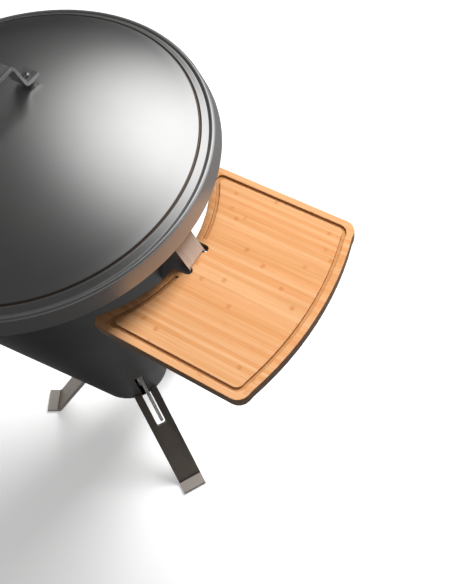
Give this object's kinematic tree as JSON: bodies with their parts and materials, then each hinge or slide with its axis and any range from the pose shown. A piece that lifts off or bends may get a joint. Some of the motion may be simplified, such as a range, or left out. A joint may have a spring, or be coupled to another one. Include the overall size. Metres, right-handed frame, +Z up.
{
  "type": "charcoal grill",
  "caption": "Conical sheet-steel charcoal grill on bent flat-bar legs, with a lever that lifts the charcoal bowl, a lift-off domed lid with thermometer, and a hooked-on bamboo side board.",
  "frame": {"origin": "centre of the bounding box's bottom face, on the ground under the grill", "axes": "+Z up; +X from the cone towards the side board; +Y to the left when looking along +X"},
  "size_m": [0.7654, 0.5748, 1.0194],
  "materials": {
    "coating": "satin dark coating",
    "liner_enamel": "black enamel",
    "satin_steel": "satin",
    "lid_steel": "satin, turned",
    "leg_steel": "brushed, bright cut edges",
    "hub_steel": "mill",
    "lever_steel": "laser-cut edge",
    "bracket_steel": "bright",
    "board_bracket_steel": "satin",
    "gear_steel": "turned",
    "bowl_steel": "satin",
    "grate_rod": "drawn rod",
    "handle_steel": "satin",
    "thermometer_steel": "polished",
    "fastener": "plain",
    "dial_white": "matt white",
    "needle_red": "gloss red",
    "lens_glass": "clear",
    "bamboo": "oiled, laminated strips"
  },
  "bodies": {
    "stand": {"outer_cone": "coating", "inner_cone": "liner_enamel", "rim_ring": "satin_steel", "hub_plate": "hub_steel", "leg_front": "leg_steel", "leg_rear_left": "leg_steel", "leg_rear_right": "leg_steel", "leg_bolt_1": "fastener", "leg_bolt_2": "fastener", "leg_bolt_3": "fastener", "leg_bolt_4": "fastener", "leg_bolt_5": "fastener", "leg_bolt_6": "fastener", "lever_bracket": "bracket_steel", "pivot_pin": "fastener", "stem_guide": "gear_steel", "ash_pan": "liner_enamel", "board_bracket": "board_bracket_steel"},
    "lever": {"regulating_lever": "lever_steel"},
    "bowl": {"lift_stem": "gear_steel", "charcoal_bowl": "bowl_steel"},
    "grate": {"cooking_grate": "grate_rod"},
    "lid": {"lid_shell": "lid_steel", "lid_seat_ring": "satin_steel", "lid_handle": "handle_steel", "handle_spacer_1": "handle_steel", "handle_spacer_2": "handle_steel", "handle_screw_1": "fastener", "handle_screw_2": "fastener", "thermometer_case": "thermometer_steel", "thermometer_dial": "dial_white", "thermometer_probe": "thermometer_steel", "thermometer_lens": "lens_glass", "probe_nut": "fastener"},
    "needle": {"thermometer_needle": "needle_red"},
    "board": {"side_board": "bamboo"}
  },
  "joints": [
    {"name": "lever_hinge", "type": "hinge", "parent": "stand", "child": "lever", "pos_m": [-0.04161, -0.031, 0.252], "axis": [-0.5, -0.866, 0], "range_deg": [0, 35]},
    {"name": "bowl_slide", "type": "slide", "parent": "stand", "child": "bowl", "axis": [0, 0, -1], "range_m": [0, 0.038]},
    {"name": "lid_lift", "type": "slide", "parent": "stand", "child": "lid", "axis": [0, 0, 1], "range_m": [0, 0.3]},
    {"name": "grate_lift", "type": "slide", "parent": "stand", "child": "grate", "axis": [0, 0, 1], "range_m": [0, 0.12]},
    {"name": "needle_turn", "type": "hinge", "parent": "lid", "child": "needle", "pos_m": [-0.1628, -0.11691, 0.95252], "axis": [-0.1308, -0.2266, 0.9652], "range_deg": [-270, 0], "stiffness_Nm_per_rad": 0.0005},
    {"name": "board_slide", "type": "slide", "parent": "stand", "child": "board", "axis": [1, 0, 0], "range_m": [0, 0.1]}
  ],
  "couplings": [
    {"joint": "bowl_slide", "follows": "lever_hinge", "m_per_rad": 0.061971},
    {"joint": "grate_lift", "follows": "lid_lift", "ratio": 0.4}
  ]
}
